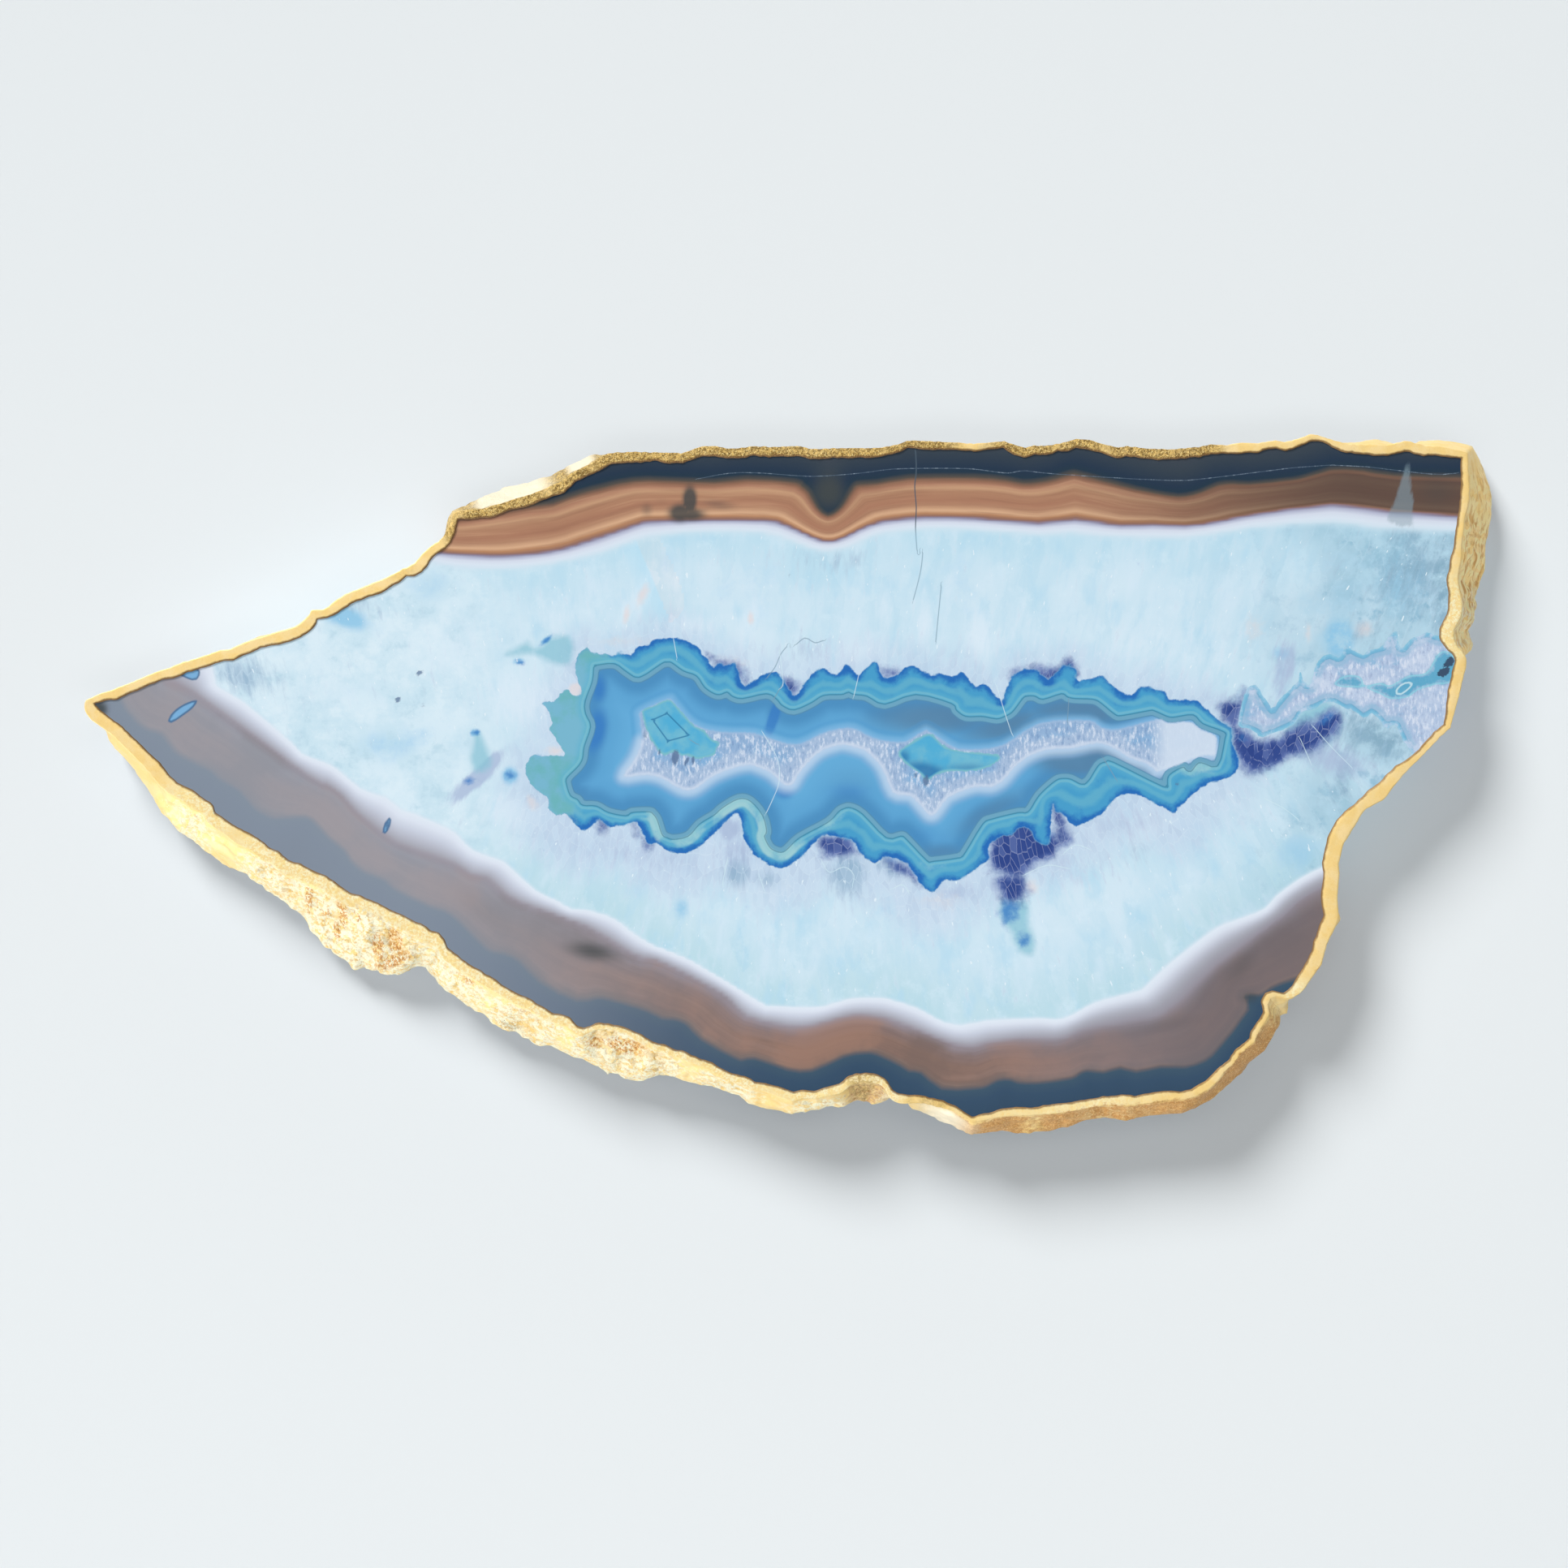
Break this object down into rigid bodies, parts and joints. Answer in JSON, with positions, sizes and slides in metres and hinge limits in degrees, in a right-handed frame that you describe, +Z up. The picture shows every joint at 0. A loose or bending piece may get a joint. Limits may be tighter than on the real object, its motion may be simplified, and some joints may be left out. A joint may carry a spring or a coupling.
{
  "type": "agate slice",
  "caption": "Large polished slice of a blue and brown banded agate nodule with a crystal-lined centre and a gilded rough rim, lying flat.",
  "frame": {"origin": "on the resting plane, under the middle of the slice's box", "axes": "+X along the length, from the pointed end to the square end; +Z up out of the polished face; +Y towards the straight edge with the dark blue band"},
  "size_m": [0.372, 0.1848, 0.02],
  "materials": {
    "agate": "polished banded chalcedony and quartz",
    "gold_plate": "bright gold over rough rind"
  },
  "bodies": {
    "root": {"agate_slab": "agate", "gilded_rim": "gold_plate"}
  },
  "joints": []
}
